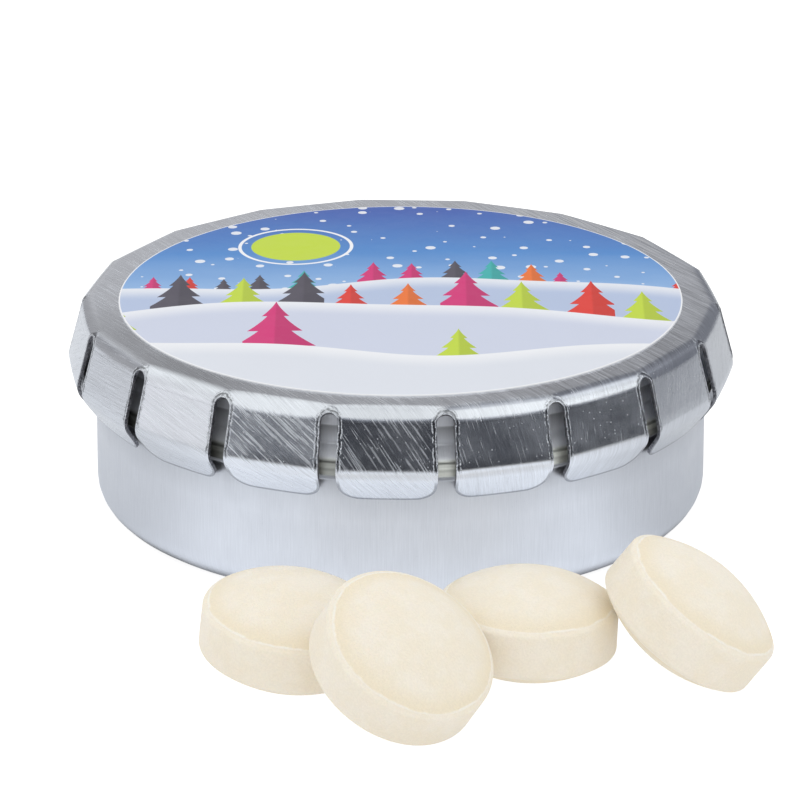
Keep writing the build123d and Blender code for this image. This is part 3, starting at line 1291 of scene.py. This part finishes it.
@dataclass
class LidSheet:
    """The lid's pressed sheet: a ring with eighteen flat facets, cut into petals. Sizes in millimetres."""

    count: int = 18
    first_bearing: float = -2.29
    sheet: float = 0.25
    top_apothem: float = 22.36
    top_level: float = 14.82
    crease_apothem: float = 23.56
    crease_level: float = 10.26
    tip_apothem: float = 22.0
    tip_level: float = 8.07
    hinge_level: float = 13.75
    hinge_room: float = 0.007
    slot_radius: float = 0.625
    slot_level: float = 13.835
    corner: float = 1.45
    crease_bend: float = 1.3
    plain_bend: float = 1.05
    tight_bend: float = 1.08
    bow: float = 0.06
    ring_radius: float = 19.9
    brushing: float = 32.0
    columns: int = 24
    edge_roll: float = 0.1
    crowding: float = 0.28
    ring_rows: int = 4
    seam_gap: float = 0.002
    sharp_angle: float = 60.0
    smooth_angle: float = 40.0

    def __post_init__(self) -> None:
        """Work out the section's directions."""
        self.half = math.radians(180.0 / self.count)
        self.shoulder = Vector((self.top_apothem, self.top_level))
        self.crease = Vector((self.crease_apothem, self.crease_level))
        self.tip = Vector((self.tip_apothem, self.tip_level))
        self.down = (self.crease - self.shoulder).normalized()
        self.inward = (self.tip - self.crease).normalized()
        self.shoulder_turn = math.atan2(-self.down.y, self.down.x)
        self.crease_turn = self.down.angle(self.inward)
        self.broad = self.plain_bend
        self.odd_bends = {0: 1.22, 1: 1.25, 2: 1.2, 3: 1.1, 15: 1.1, 16: 1.25, 17: 1.3}
        self.along = outward(math.radians(self.brushing))
        self.across = sideways(math.radians(self.brushing))

    def bearing(self, number: int) -> float:
        """Bearing of a facet in radians, counted from nought at the front."""
        return math.radians(self.first_bearing + 360.0 * number / self.count)

    def bend(self, share: float) -> float:
        """Radius of the shoulder's bend, from the middle of a facet to its slot."""
        return self.broad + (self.tight_bend - self.broad) * abs(share) ** 4

    def bend_reach(self, share: float) -> float:
        """Distance from the shoulder's corner to where its bend ends."""
        return self.bend(share) * math.tan(self.shoulder_turn / 2)

    def unfolded_place(self, spot: Vector) -> Point2:
        """Place in the unfolded map of a spot in millimetres, with X across the brushing."""
        return spot.dot(self.across) / UNFOLDED_SPAN + 0.5, spot.dot(self.along) / UNFOLDED_SPAN + 0.5

    def slot_side(self, apothem: float, opening: float) -> float:
        """Half width of a facet beside a slot of a half width."""
        return apothem * math.tan(self.half) - opening / math.cos(self.half)

    def turned_point(self, share: float, angle: float) -> SheetPoint:
        """Point in the shoulder's bend.

        Args:
            share: Place across the facet, from nought in its middle to one at its slot.
            angle: Angle by which the bend has turned there.

        Returns:
            Its distance from the axis, its level, and its distance along the unfolded sheet.
        """
        radius = self.bend(share)
        reach = self.bend_reach(share)
        apothem = self.top_apothem - reach + radius * math.sin(angle)
        apothem -= self.bow * share**2 * min(1.0, angle / self.shoulder_turn)
        level = self.top_level - radius + radius * math.cos(angle)
        return apothem, level, self.top_apothem - reach + radius * angle

    def level_point(self, share: float, level: float) -> SheetPoint:
        """Point of a facet's section at a level, on the bend or on the flank under it.

        Args:
            share: Place across the facet, from nought in its middle to one at its slot.
            level: Level over the floor.

        Returns:
            Its distance from the axis, its level, and its distance along the unfolded sheet.
        """
        reach = self.bend_reach(share)
        travel = (self.top_level - level) / -self.down.y
        if travel < reach:
            radius = self.bend(share)
            return self.turned_point(share, math.acos((level - self.top_level + radius) / radius))
        point = self.shoulder + self.down * travel
        unfolded = self.top_apothem - 2 * reach + self.bend(share) * self.shoulder_turn + travel
        return point.x - self.bow * share**2, point.y, unfolded

    def shoulder_rows(self) -> list[Row]:
        """Rows from the end of the ring's flat to the hinge line.

        Returns:
            The rows in order outwards.
        """
        rows = []
        first_level = self.slot_level + self.slot_radius + 0.05
        for count in range(9):

            def turned(share: float, part: float = count / 9) -> SheetPoint:
                """Point at a part of the turn that the bend has made at the first level."""
                radius = self.bend(share)
                whole = math.acos((first_level - self.top_level + radius) / radius)
                return self.turned_point(share, whole * part)

            rows.append(Row(turned(1.0)[0] * math.tan(self.half), turned))
        levels = [(first_level, 0.0)]
        for count in range(7):
            angle = math.radians(90 - 15 * count)
            rise = self.slot_radius * math.sin(angle)
            levels.append((self.slot_level + rise, self.slot_radius * math.cos(angle)))
        levels.append((self.hinge_level, self.slot_radius))
        for level, opening in levels:

            def levelled(share: float, level: float = level) -> SheetPoint:
                """Point at this row's level."""
                return self.level_point(share, level)

            rows.append(Row(self.slot_side(levelled(1.0)[0], opening), levelled))
        return rows

    def petal_rows(self) -> list[Row]:
        """Rows from the hinge line over the crease to the tip of the folded tab.

        Returns:
            The rows in order outwards.
        """
        travel = (self.top_level - self.hinge_level) / -self.down.y + self.hinge_room
        hinge = self.shoulder + self.down * travel
        hinge_reach = self.level_point(0.0, self.hinge_level)[2] + self.hinge_room
        reach = self.crease_bend * math.tan(self.crease_turn / 2)
        line = [(hinge.lerp(self.crease - self.down * reach, count / 5), 0.0) for count in range(5)]
        bend = turned_corner(hinge, self.crease, self.tip, self.crease_bend, 9)
        line += [(point, 0.0) for point in bend]
        length = (self.tip - self.crease).length
        square = length - self.corner
        line.append((self.crease + self.inward * (reach + square) / 2, 0.0))
        for count in range(8):
            angle = math.radians(90 * count / 7)
            point = self.crease + self.inward * (square + self.corner * math.sin(angle))
            line.append((point, self.corner * (1 - math.cos(angle))))
        rows = []
        travelled = hinge_reach
        last = hinge
        for point, inset in line:
            travelled += (point - last).length
            last = point
            fixed = (point.x, point.y, travelled)
            side = self.slot_side(point.x - self.bow, self.slot_radius) - inset

            def settled(share: float, fixed: SheetPoint = fixed) -> SheetPoint:
                """The same point right across the petal, but for its bow."""
                return fixed[0] - self.bow * share**2, fixed[1], fixed[2]

            rows.append(Row(side, settled))
        return rows

    def sheet_piece(self, name: str, rows: Sequence[Row], with_ring: bool) -> Piece:
        """Shape a grid to a facet that looks towards bearing nought, and note its unfolded place.

        Args:
            name: Name of the piece.
            rows: The rows outwards from the bend or the hinge line.
            with_ring: Whether the flat ring inside the first row belongs to it.

        Returns:
            The sheet, as yet without its thickness.
        """
        inner = self.ring_rows if with_ring else 0
        total = inner + len(rows)
        put_down()
        bpy.ops.mesh.primitive_grid_add(x_subdivisions=self.columns, y_subdivisions=total - 1, size=2.0)
        piece = bpy.context.object
        piece.name = name
        piece.data.name = name
        mesh = piece.data
        for note in ("reach", "side", "margin", "rim"):
            mesh.attributes.new(note, "FLOAT", "POINT")
        notes = mesh.attributes
        tip_reach = rows[-1].section(0.0)[2]
        for index, vertex in enumerate(mesh.vertices):
            eased = math.sin(vertex.co.x * math.pi / 2)
            share = (1 - self.crowding) * vertex.co.x + self.crowding * eased
            number = total - 1 - round((vertex.co.y + 1) / 2 * (total - 1))
            row = rows[max(0, number - inner)]
            apothem, level, reach = row.section(share)
            side = share * row.side
            if number < inner:
                step = number / inner
                around = share * self.half
                apothem += (self.ring_radius * math.cos(around) - apothem) * (1 - step)
                side += (self.ring_radius * math.sin(around) - side) * (1 - step)
                reach = apothem
            vertex.co = (outward(0.0) * apothem + sideways(0.0) * side + Vector((0, 0, level))) * MM
            notes["reach"].data[index].value = reach
            notes["side"].data[index].value = side
            beside_slot = (apothem * math.tan(self.half) - abs(side)) * math.cos(self.half)
            from_slot = math.hypot(beside_slot, max(0.0, level - self.slot_level))
            notes["margin"].data[index].value = from_slot - self.slot_radius
            beyond = self.corner - (tip_reach - reach)
            beside = self.corner - (beside_slot - self.slot_radius)
            in_corner = min(beyond, beside) > 0
            rim = math.hypot(beyond, beside) if in_corner else max(beyond, beside)
            notes["rim"].data[index].value = self.corner - rim
        mesh.uv_layers.new(name=BURR)
        return piece

    def note_brushing(self, piece: Piece, bearing: float) -> None:
        """Write the unfolded map, so that the brushed lines run on from facet to facet.

        Args:
            piece: One facet's sheet.
            bearing: Its bearing.
        """
        mesh = piece.data
        layer = mesh.uv_layers[0]
        layer.name = UNFOLDED
        reach = mesh.attributes["reach"].data
        side = mesh.attributes["side"].data
        margin = mesh.attributes["margin"].data
        rim = mesh.attributes["rim"].data
        torn = mesh.uv_layers[BURR]
        for loop in mesh.loops:
            index = loop.vertex_index
            spot = outward(bearing) * reach[index].value + sideways(bearing) * side[index].value
            layer.uv[loop.index].vector = self.unfolded_place(spot)
            torn.uv[loop.index].vector = (margin[index].value / BURR_SPAN, rim[index].value / BURR_SPAN)

    def thicken(self, piece: Piece) -> None:
        """Give a sheet its thickness and roll the outer edges of its cuts.

        Args:
            piece: The sheet.
        """
        finish_modifier(
            piece, "SOLIDIFY", thickness=self.sheet * MM, offset=-1.0, use_even_offset=True,
            material_offset_rim=1,
        )
        mesh = piece.data
        take(piece)
        bpy.ops.object.mode_set(mode="EDIT")
        bpy.ops.mesh.select_mode(type="EDGE")
        bpy.ops.mesh.select_all(action="DESELECT")
        bpy.ops.mesh.edges_select_sharp(sharpness=math.radians(self.sharp_angle))
        bpy.ops.object.mode_set(mode="OBJECT")
        for edge in mesh.edges:
            ends = [mesh.vertices[index].co / MM for index in edge.vertices]
            level_run = abs(ends[0].z - ends[1].z) < 0.01
            at_hinge = level_run and all(abs(end.z - self.hinge_level) < 0.3 for end in ends)
            at_ring = all(math.hypot(end.x, end.y) < self.ring_radius + 0.05 for end in ends)
            if at_hinge or at_ring:
                edge.select = False
        bpy.ops.object.mode_set(mode="EDIT")
        bpy.ops.mesh.bevel(
            offset=self.edge_roll * MM, segments=3, affect="EDGES", clamp_overlap=True, material=1
        )
        bpy.ops.object.mode_set(mode="OBJECT")

    def build(self, finishes: Finishes) -> list[Piece]:
        """Make the ring and its petals.

        Args:
            finishes: The finishes.

        Returns:
            The ring and the petals.
        """
        petal = self.sheet_piece("lid_petal", self.petal_rows(), False)
        dress(petal, finishes.lid, finishes.edge)
        facets = []
        pieces = []
        for number in range(self.count):
            bearing = self.bearing(number)
            self.broad = self.odd_bends.get(number, self.plain_bend)
            facet = self.sheet_piece(f"lid_facet_{number + 1:02d}", self.shoulder_rows(), True)
            dress(facet, finishes.lid, finishes.edge)
            facet.matrix_world = Matrix.Rotation(bearing, 4, "Z")
            settle(facet)
            self.note_brushing(facet, bearing)
            facets.append(facet)
            leaf = copy_turned(petal, f"lid_leaf_{number + 1:02d}", bearing)
            self.note_brushing(leaf, bearing)
            self.thicken(leaf)
            smooth(leaf, self.smooth_angle)
            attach(leaf, f"petal_{number + 1:02d}")
            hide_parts(f"petal_{number + 1:02d}")
            pieces.append(leaf)
        bpy.data.objects.remove(petal)
        ring = join_all(facets, "lid_ring", self.seam_gap * MM)
        self.thicken(ring)
        smooth(ring, self.smooth_angle)
        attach(ring, "lid")
        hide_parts("lid_shoulder")
        log.info("%s and %d petals replace the lid's sheet", ring.name, len(pieces))
        return [ring, *pieces]


@dataclass
class LidTop:
    """The lid's domed panel and its label, in wedges that follow the panel's click. Sizes in millimetres."""

    lid: LidSheet
    radius: float = 20.05
    rise: float = 0.3
    thickness: float = 0.25
    label_radius: float = 20.0
    label_thickness: float = 0.1
    still_radius: float = 20.0
    steps: int = 8

    def dome(self, distance: float) -> float:
        """Level of the panel's upper face at a distance from the axis."""
        ball = (self.radius**2 + self.rise**2) / (2 * self.rise)
        return self.lid.top_level + self.rise - ball + math.sqrt(ball**2 - distance**2)

    def slab(self, radius: float, low: float, high: float, roll: float) -> list[Vector]:
        """Section of a domed slab.

        Args:
            radius: Outer radius.
            low: Level of its lower face over the panel's upper face.
            high: Level of its upper face over the panel's upper face.
            roll: Radius of its upper edge.

        Returns:
            The section in metres, from the axis to the axis.
        """
        distances = [radius * share for share in (0, 0.12, 0.24, 0.36, 0.48, 0.6, 0.7, 0.8, 0.88, 0.95)]
        under = [Vector((d, self.dome(d) + low)) for d in distances + [radius]]
        edge_level = self.dome(radius) + high
        edge = arc((radius - roll, edge_level - roll), roll, 0.0, 90.0, 4)
        over = [Vector((d, self.dome(d) + high)) for d in reversed(distances)]
        return [point * MM for point in under + edge + over]

    def wedges(
        self, name: str, outline: Sequence[Vector], node: str, slot: str, material: Material
    ) -> list[Piece]:
        """Make a disc in wedges, one at each petal's bearing, that follow the panel more towards its middle.

        Args:
            name: Name of the disc.
            outline: Section of the disc.
            node: The CAD node that it stands for.
            slot: Not used.
            material: Its material.

        Returns:
            The wedges.
        """
        whole = math.tau / self.lid.count
        pattern = turn_outline(name, outline, self.steps, -math.pi / 2 - whole / 2, whole)
        smooth(pattern, 30.0)
        dress(pattern, material)
        layers = pattern.data.uv_layers
        layer = layers[0] if layers else layers.new(name=UNFOLDED)
        layer.name = UNFOLDED
        torn = layers.new(name=BURR)
        for loop in pattern.data.loops:
            torn.uv[loop.index].vector = (0.5, 0.5)
        wedges = []
        for number in range(self.lid.count):
            bearing = self.lid.bearing(number)
            wedge = copy_turned(pattern, f"{name}_{number + 1:02d}", bearing)
            self.note_flat(wedge)
            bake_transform(wedge, "lid", "panel", outward(bearing) * self.still_radius * MM, (0.0, 0.0, 0.0))
            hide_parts(node)
            wedges.append(wedge)
        bpy.data.objects.remove(pattern)
        log.info("%d wedges replace %s", len(wedges), node)
        return wedges

    def note_flat(self, piece: Piece) -> None:
        """Write the unfolded map of a nearly flat piece.

        Args:
            piece: The piece.
        """
        mesh = piece.data
        layer = mesh.uv_layers[UNFOLDED]
        for loop in mesh.loops:
            spot = mesh.vertices[loop.vertex_index].co / MM
            layer.uv[loop.index].vector = self.lid.unfolded_place(spot)

    def build(self, finishes: Finishes) -> list[Piece]:
        """Make the panel and its label.

        Args:
            finishes: The finishes.

        Returns:
            The wedges of both.
        """
        panel = self.slab(self.lid.ring_radius, -self.thickness, 0.0, 0.01)
        label = self.slab(self.label_radius, 0.0, self.label_thickness, 0.03)
        pieces = self.wedges("panel_wedge", panel, "lid_panel", "lid_steel", finishes.lid)
        return pieces + self.wedges("label_wedge", label, "label", "printed_label", finishes.label)


@dataclass(frozen=True)
class MintPlace:
    """Where one mint lies: its middle in millimetres, and the bearing and tilt of its upper face."""

    middle: tuple[float, float, float]
    bearing: float = 0.0
    tilt: float = 0.0

    def matrix(self) -> Matrix:
        """The place as a transform.

        Returns:
            The transform, in metres.
        """
        up = outward(math.radians(self.bearing)) * math.sin(math.radians(self.tilt))
        up += Vector((0, 0, math.cos(math.radians(self.tilt))))
        turn = Vector((0, 0, 1)).rotation_difference(up).to_matrix().to_4x4()
        return Matrix.Translation(Vector(self.middle) * MM) @ turn


class OutsideMint(Enum):
    """The four mints in front of the tin, each named for its node."""

    mint_left = MintPlace((-7.33, -34.21, 3.57), 44.6, 8.8)
    mint_front = MintPlace((0.06, -41.71, 4.73), 44.6, 36.4)
    mint_middle = MintPlace((8.50, -32.87, 3.51), 83.0, 2.4)
    mint_right = MintPlace((19.20, -34.19, 4.77), 83.0, 37.0)


@dataclass
class Mints:
    """Pressed tablets with a straight band and two domed faces. Sizes in millimetres."""

    radius: float = 6.0
    band: float = 2.9
    dome: float = 2.05
    edge: float = 0.3
    ring_radius: float = 14.9
    ring_count: int = 7
    floor_level: float = 0.31

    def outline(self, rows: int) -> list[Vector]:
        """Section of one mint from its lower pole to its upper pole.

        Args:
            rows: Number of rows on each face.

        Returns:
            The section in metres.
        """
        ball = (self.radius**2 + self.dome**2) / (2 * self.dome)
        centre = self.band / 2 + self.dome - ball
        reach = ball - self.edge
        middle_x = self.radius - self.edge
        middle_y = centre + math.sqrt(reach**2 - middle_x**2)
        lean = math.degrees(math.atan2(middle_y - centre, middle_x))
        face = arc((0.0, centre), ball, 90.0, lean, rows)
        corner = arc((middle_x, middle_y), self.edge, lean, 0.0, 6)
        upper = face[:-1] + corner
        band = [Vector((self.radius, middle_y * share)) for share in (0.75, 0.5, 0.25, 0.0)]
        top_half = upper + band
        bottom_half = [Vector((point.x, -point.y)) for point in top_half]
        return [point * MM for point in bottom_half[:-1] + top_half[::-1]]

    def tablet(self, name: str, rows: int, steps: int) -> Piece:
        """Make one mint at the origin, and note the distance from its axis and what is its face.

        Args:
            name: Name of the mint.
            rows: Number of rows on each face.
            steps: Number of steps round it.

        Returns:
            The mint.
        """
        mint = turn_outline(name, self.outline(rows), steps)
        mesh = mint.data
        reach = mesh.attributes.new("reach", "FLOAT", "POINT")
        face = mesh.attributes.new("face", "FLOAT", "POINT")
        for index, vertex in enumerate(mesh.vertices):
            reach.data[index].value = math.hypot(vertex.co.x, vertex.co.y) / MM
            face.data[index].value = 1.0 if abs(vertex.co.z) / MM > self.band / 2 else 0.0
        smooth(mint, 60.0)
        return mint

    def build(self, finishes: Finishes) -> list[Piece]:
        """Make the mints outside and those in the tin.

        Args:
            finishes: The finishes.

        Returns:
            The mints.
        """
        pattern = self.tablet("mint_pattern", 20, 120)
        dress(pattern, finishes.mint)
        pieces = []
        for spot in OutsideMint:
            mint = copy_turned(pattern, f"{spot.name}_tablet", 0.0)
            mint.matrix_world = spot.value.matrix()
            settle(mint)
            mint.visible_glossy = False
            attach(mint, spot.name)
            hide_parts(spot.name)
            pieces.append(mint)
            log.info("%s replaces %s", mint.name, spot.name)
        bpy.data.objects.remove(pattern)
        plain = self.tablet("plain_mint", 9, 64)
        dress(plain, finishes.mint)
        level = self.floor_level + self.band / 2 + self.dome
        spots = [(0.0, 0.0, level)]
        for count in range(self.ring_count):
            angle = math.tau * count / self.ring_count
            spots.append((self.ring_radius * math.cos(angle), self.ring_radius * math.sin(angle), level))
        layer = []
        for count, spot in enumerate(spots):
            mint = copy_turned(plain, f"layer_mint_{count}", 0.0)
            mint.matrix_world = MintPlace(spot).matrix()
            settle(mint)
            layer.append(mint)
        bpy.data.objects.remove(plain)
        stored = join_all(layer, "mint_layer", 1e-8)
        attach(stored, "base")
        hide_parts("mints_inside")
        log.info("%s replaces mints_inside", stored.name)
        return pieces + [stored]


# Studio


@dataclass
class Studio:
    """Pale floor, soft light and the camera."""

    focal_pixels: float = 6251.0
    picture: int = 800
    distance: float = 443.72
    elevation: float = 19.56
    label_level: float = 14.92
    label_spot: Point2 = (400.6, 296.8)
    floor_size: float = 6.0
    wall_radius: float = 0.2
    wall_height: float = 0.014
    floor_drop: float = 0.00002

    def build_camera(self) -> Piece:
        """Place the camera as the photograph was taken.

        Returns:
            The camera.
        """
        put_down()
        rise = math.radians(self.elevation)
        target = Vector((0.0, 0.0, self.label_level * MM))
        toward = Vector((0.0, -math.cos(rise), math.sin(rise)))
        place = target + toward * self.distance * MM
        bpy.ops.object.camera_add(location=place)
        camera = bpy.context.object
        camera.name = "studio_camera"
        half = self.picture / 2
        tilt = math.atan((half - self.label_spot[1]) / self.focal_pixels)
        swing = math.atan((self.label_spot[0] - half) / self.focal_pixels)
        camera.rotation_euler = (math.pi / 2 - rise - tilt, 0.0, swing)
        camera.data.sensor_width = SENSOR_WIDTH
        camera.data.lens = self.focal_pixels / self.picture * SENSOR_WIDTH
        camera.data.clip_start = 0.01
        camera.data.clip_end = 20.0
        bpy.context.scene.camera = camera
        return camera

    def build_horizon(self) -> bpy.types.NodeTree:
        """Brightness of the studio near the horizon, by bearing from the front.

        Returns:
            The group, which puts out Level from a direction.
        """
        board, given, result = new_group("studio_horizon", {}, ("Level",))
        x, y = board.split(given.outputs["Vector"])[:2]
        levels = (
            (-180, 0.46), (-172, 0.56), (-160, 0.50), (-140, 0.38), (-118, 0.48), (-98, 0.92), (-78, 0.98),
            (-64, 0.70), (-50, 0.09), (-36, 0.045), (-10, 0.05), (60, 0.055), (82, 0.07), (100, 0.14),
            (112, 0.23), (124, 0.26), (145, 0.255), (165, 0.28), (174, 0.38), (180, 0.46),
        )
        ramp = board.ramp(turn_share(board, x, y), tone_stops(levels, -180, 180), "EASE")
        board.feed(result.inputs["Level"], ramp)
        return board.tree

    def shade(self, board: NodeBoard, level: Feed) -> Socket:
        """Tint of a part of the studio: the darker it is, the bluer."""
        return board.mix(board.spread(level, 0.08, 0.5), (0.78, 0.84, 1.0), (0.97, 0.975, 1.0))

    def build_world(self, horizon: bpy.types.NodeTree) -> None:
        """Soft light all round: bright overhead, grey behind, darker in front.

        Args:
            horizon: The group with the horizon's brightness.
        """
        world = bpy.data.worlds.new("studio_light")
        bpy.context.scene.world = world
        world.use_nodes = True
        world.node_tree.nodes.clear()
        board = NodeBoard(world.node_tree)
        output = board.add("ShaderNodeOutputWorld")
        light = board.add("ShaderNodeBackground")
        board.feed(output.inputs["Surface"], light.outputs["Background"])
        direction = board.add("ShaderNodeTexCoord").outputs["Generated"]
        x, y, z = board.split(direction)
        low = board.place_group(horizon, Vector=direction).outputs["Level"]
        front = board.spread(y, -0.15, 0.06, 1.0, 0.0)
        right = board.spread(x, -0.04, 0.14)
        eased = board.spread(x, 0.3, 0.75, 0.42, 0.09)
        shift = board.times(right, eased)
        aside = board.maths("ABSOLUTE", x)
        low_start = board.scaled(aside, -0.14, 0.22)
        low_end = board.scaled(aside, -0.46, 0.62)
        start = board.spread(front, 0.0, 1.0, board.plus(shift, 0.40), low_start, soft=False)
        end = board.spread(front, 0.0, 1.0, board.scaled(shift, 0.8, 0.74), low_end, soft=False)
        climb = board.spread(z, start, end)
        level = board.spread(climb, 0.0, 1.0, low, 1.22, soft=False)
        tint = board.mix(climb, self.shade(board, low), (0.97, 1.0, 1.0))
        soft = board.add("ShaderNodeLightPath").outputs["Is Diffuse Ray"]
        fill = board.spread(z, 0.0, 1.0, 0.76, 1.15, soft=False)
        board.feed(light.inputs["Color"], board.mix(soft, tint, (1.0, 1.0, 0.995)))
        board.feed(light.inputs["Strength"], board.scaled(soft, board.minus(fill, level), level))

    def build_wall(self, horizon: bpy.types.NodeTree) -> Piece:
        """Low wall round the stage, which only reflections see.

        Args:
            horizon: The group with the horizon's brightness.

        Returns:
            The wall.
        """
        put_down()
        bpy.ops.mesh.primitive_cylinder_add(
            vertices=96, radius=self.wall_radius, depth=self.wall_height, end_fill_type="NOTHING",
            location=(0, 0, self.wall_height / 2),
        )
        wall = bpy.context.object
        wall.name = "studio_wall"
        settle(wall)
        material = bpy.data.materials.new("studio_wall_light")
        material.use_nodes = True
        material.node_tree.nodes.clear()
        board = NodeBoard(material.node_tree)
        output = board.add("ShaderNodeOutputMaterial")
        light = board.add("ShaderNodeEmission")
        board.feed(output.inputs["Surface"], light.outputs["Emission"])
        place = board.add("ShaderNodeTexCoord").outputs["Object"]
        level = board.place_group(horizon, Vector=place).outputs["Level"]
        board.feed(light.inputs["Color"], self.shade(board, level))
        board.feed(light.inputs["Strength"], level)
        wall.data.materials.append(material)
        wall.visible_camera = False
        wall.visible_diffuse = False
        wall.visible_shadow = False
        wall.visible_transmission = False
        wall.visible_volume_scatter = False
        return wall

    def build_floor(self) -> Piece:
        """Pale floor that glows a little, as a light table does.

        Returns:
            The floor.
        """
        put_down()
        bpy.ops.mesh.primitive_plane_add(size=self.floor_size, location=(0, 0, -self.floor_drop))
        floor = bpy.context.object
        floor.name = "studio_floor"
        settle(floor)
        material, board, shader = start_material("studio_floor_white")
        shader.inputs["Base Color"].default_value = (0.4, 0.4, 0.4, 1.0)
        shader.inputs["Roughness"].default_value = 0.9
        shader.inputs["Specular IOR Level"].default_value = 0.0
        x, y = board.split(millimetres(board))[:2]
        turn = board.maths("ARCTAN2", board.maths("ABSOLUTE", x), board.times(y, -1.0))
        reach = board.vectors("LENGTH", board.gather(x, y))
        side_loss = board.spread(x, -5.0, 5.0, 0.41, 0.5)
        sides = board.spread(turn, math.radians(38), math.radians(72), 0.0, side_loss)
        front = board.spread(turn, math.radians(50), math.radians(85), 1.0, 0.0)
        far = board.times(board.spread(reach, 60.0, 105.0, 0.0, 0.86), front)
        under = board.spread(reach, 20.7, 21.9, 0.85, 0.0)
        middle = board.spread(turn, math.radians(28), math.radians(58), 0.13, 0.0)
        middle = board.times(middle, board.spread(reach, 25.0, 30.0))
        back_loss = board.spread(x, -5.0, 5.0, 0.02, 0.14)
        behind = board.spread(turn, math.radians(85), math.radians(125), 0.0, back_loss)
        behind = board.times(behind, board.spread(reach, 42.0, 60.0))
        back = board.plus(far, behind)
        loss = board.maths("ADD", board.plus(sides, back), board.plus(under, middle), clamp=True)
        path = board.add("ShaderNodeLightPath")
        mirrored, scattered = path.outputs["Is Glossy Ray"], path.outputs["Is Diffuse Ray"]
        seen = board.scaled(mirrored, -0.06, board.scaled(scattered, -0.36, 0.86))
        lit = board.scaled(board.times(loss, mirrored), -0.8, seen)
        board.feed(shader.inputs["Emission Strength"], lit)
        colour = board.mix(scattered, (1.0, 1.0, 1.0), (1.0, 0.985, 0.96))
        board.feed(shader.inputs["Emission Color"], board.mix(mirrored, colour, (0.875, 0.931, 1.0)))
        floor.data.materials.append(material)
        return floor

    def build(self) -> None:
        """Make the camera, the light and the floor."""
        bpy.context.scene.view_settings.view_transform = "Standard"
        self.build_camera()
        horizon = self.build_horizon()
        self.build_world(horizon)
        self.build_wall(horizon)
        self.build_floor()
        log.info("studio ready")


def main() -> None:
    """Build the studio, the tin and the mints in order."""
    logging.basicConfig(level=logging.INFO, format="%(name)s: %(message)s")
    Studio().build()
    finishes = Finishes(Effects())
    lid = LidSheet()
    pieces = [TinBase().build(finishes)]
    pieces += lid.build(finishes)
    pieces += LidTop(lid).build(finishes)
    pieces += Mints().build(finishes)
    for piece in pieces:
        log.info("%s: %d faces", piece.name, len(piece.data.polygons))


if __name__ == "__main__":
    main()
